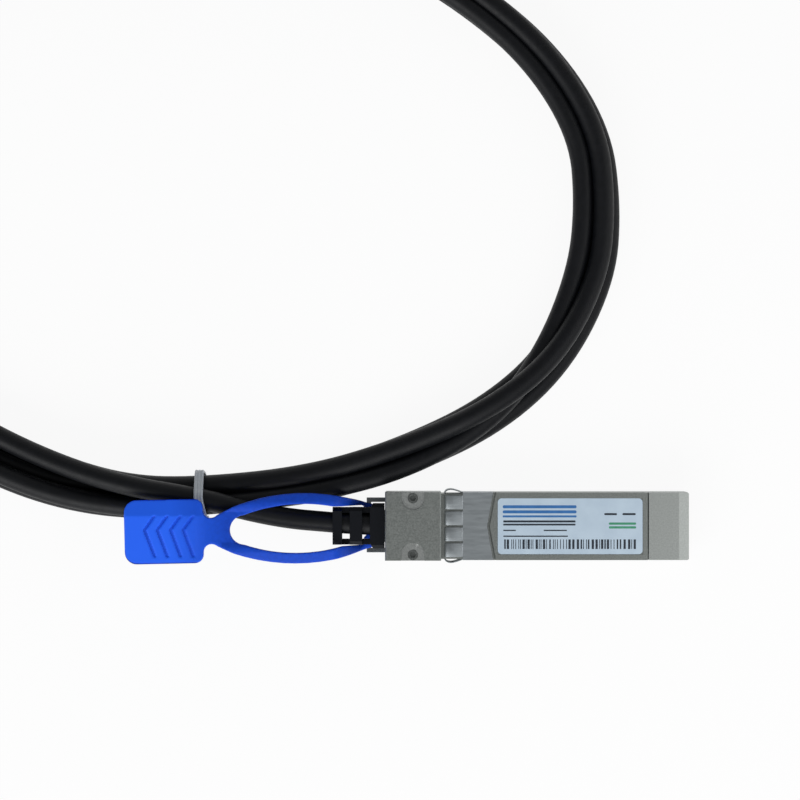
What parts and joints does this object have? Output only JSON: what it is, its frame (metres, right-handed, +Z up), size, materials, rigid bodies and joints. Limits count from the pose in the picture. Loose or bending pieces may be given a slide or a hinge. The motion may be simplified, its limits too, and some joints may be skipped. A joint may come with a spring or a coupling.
{
  "type": "direct attach copper cable",
  "caption": "Coiled twinax cable tied once, with a small-form-factor plug, latch and soft pull tab at each end, for linking two network ports.",
  "frame": {"origin": "middle of the near plug's head at its rear edge, on the head's flat foot, where the assembly rests", "axes": "+X from the near plug's head to its nose, +Y from the near plug across the coil to the far plug, +Z up from the surface it lies on"},
  "size_m": [0.1762, 0.1428, 0.0144],
  "materials": {
    "cast_zinc": "die-cast zinc with satin nickel plating, faintly warm grey",
    "stainless_sheet": "stamped stainless sheet, brushed",
    "label_film": "satin polyester label film",
    "circuit_board": "glass-epoxy board with green solder mask",
    "gold_plate": "gold plating over nickel",
    "chip_plastic": "black moulded epoxy",
    "foil_shield": "aluminised foil wrap",
    "ferrule_brass": "nickel-flashed brass, crimped",
    "boot_rubber": "matt black moulded elastomer",
    "slider_steel": "stamped stainless sheet",
    "spring_steel": "spring steel strip",
    "screw_steel": "nickel-plated socket screws",
    "tab_elastomer": "satin blue thermoplastic elastomer",
    "cable_jacket": "satin black vinyl jacket",
    "tie_nylon": "translucent grey nylon"
  },
  "bodies": {
    "cable_assembly": {"near_base_shell": "cast_zinc", "near_top_cover": "cast_zinc", "near_spring_collar": "stainless_sheet", "near_label": "label_film", "near_paddle_card": "circuit_board", "near_edge_contacts": "gold_plate", "near_card_chips": "chip_plastic", "near_transmit_pair": "foil_shield", "near_receive_pair": "foil_shield", "near_crimp_ferrule": "ferrule_brass", "near_strain_relief": "boot_rubber", "near_return_spring": "spring_steel", "near_cover_screws": "screw_steel", "near_lead": "cable_jacket", "far_base_shell": "cast_zinc", "far_top_cover": "cast_zinc", "far_spring_collar": "stainless_sheet", "far_label": "label_film", "far_paddle_card": "circuit_board", "far_edge_contacts": "gold_plate", "far_card_chips": "chip_plastic", "far_transmit_pair": "foil_shield", "far_receive_pair": "foil_shield", "far_crimp_ferrule": "ferrule_brass", "far_strain_relief": "boot_rubber", "far_return_spring": "spring_steel", "far_cover_screws": "screw_steel", "far_lead": "cable_jacket", "cable_coil": "cable_jacket", "cable_tie": "tie_nylon"},
    "near_latch": {"near_pull_tab": "tab_elastomer", "near_latch_slider": "slider_steel"},
    "far_latch": {"far_pull_tab": "tab_elastomer", "far_latch_slider": "slider_steel"}
  },
  "joints": [
    {"name": "near_pull", "type": "slide", "parent": "cable_assembly", "child": "near_latch", "axis": [-1, 0, 0], "range_m": [0, 0.0018], "stiffness_N_per_m": 2000, "deforming": ["near_return_spring"]},
    {"name": "far_pull", "type": "slide", "parent": "cable_assembly", "child": "far_latch", "axis": [-1, 0, 0], "range_m": [0, 0.0018], "stiffness_N_per_m": 2000, "deforming": ["far_return_spring"]}
  ]
}
